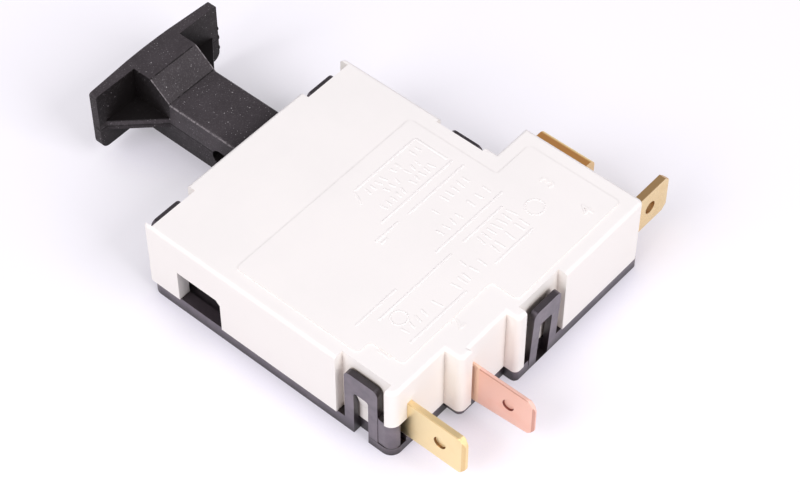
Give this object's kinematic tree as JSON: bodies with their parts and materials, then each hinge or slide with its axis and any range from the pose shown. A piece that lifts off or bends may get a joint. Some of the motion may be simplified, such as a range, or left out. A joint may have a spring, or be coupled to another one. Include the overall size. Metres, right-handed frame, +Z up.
{
  "type": "push button power switch",
  "caption": "Flat two-pole push-push power switch with a wide-headed side push rod, a cover latched over a moulded base, and blade terminals.",
  "frame": {"origin": "on the flat underside, below the push rod's axis, midway along the housing", "axes": "+X from the push rod to the blade terminals, +Z up from the underside to the cover's top, +Y toward the side block"},
  "size_m": [0.0581, 0.0409, 0.0103],
  "materials": {
    "cover_plastic": "matt moulded",
    "base_plastic": "matt moulded",
    "rod_plastic": "matt moulded",
    "slider_plastic": "matt moulded",
    "brass": "bright rolled",
    "copper": "bright rolled copper",
    "contact_silver": "satin silver",
    "spring_steel": "drawn wire"
  },
  "bodies": {
    "housing": {"cover": "cover_plastic", "base": "base_plastic", "return_spring": "spring_steel", "terminal_1": "brass", "terminal_2": "copper", "terminal_3": "brass", "terminal_4": "brass", "fixed_contact_1": "contact_silver", "fixed_contact_2": "contact_silver", "fixed_contact_3": "contact_silver", "fixed_contact_4": "contact_silver"},
    "plunger": {"push_rod": "rod_plastic", "slider": "slider_plastic", "contact_spring_a": "spring_steel", "contact_spring_b": "spring_steel"},
    "bridge_a": {"contact_bridge_a": "copper", "moving_contact_a1": "contact_silver", "moving_contact_a2": "contact_silver"},
    "bridge_b": {"contact_bridge_b": "copper", "moving_contact_b1": "contact_silver", "moving_contact_b2": "contact_silver"},
    "pin": {"latch_pin": "spring_steel"}
  },
  "joints": [
    {"name": "press", "type": "slide", "parent": "housing", "child": "plunger", "axis": [1, 0, 0], "range_m": [0, 0.004], "stiffness_N_per_m": 400, "springref_m": -0.002, "deforming": ["return_spring"]},
    {"name": "bridge_a_give", "type": "slide", "parent": "plunger", "child": "bridge_a", "axis": [1, 0, 0], "range_m": [-0.0008, 0], "stiffness_N_per_m": 600, "springref_m": 0.0008, "deforming": ["contact_spring_a"]},
    {"name": "bridge_b_give", "type": "slide", "parent": "plunger", "child": "bridge_b", "axis": [1, 0, 0], "range_m": [-0.0008, 0], "stiffness_N_per_m": 600, "springref_m": 0.0008, "deforming": ["contact_spring_b"]},
    {"name": "latch_swing", "type": "hinge", "parent": "housing", "child": "pin", "pos_m": [0.0147, 0, 0.0084], "axis": [0, 0, 1], "range_deg": [0, 8.4]}
  ],
  "couplings": [
    {"joint": "latch_swing", "follows": "press", "rad_per_m": 36.388}
  ]
}
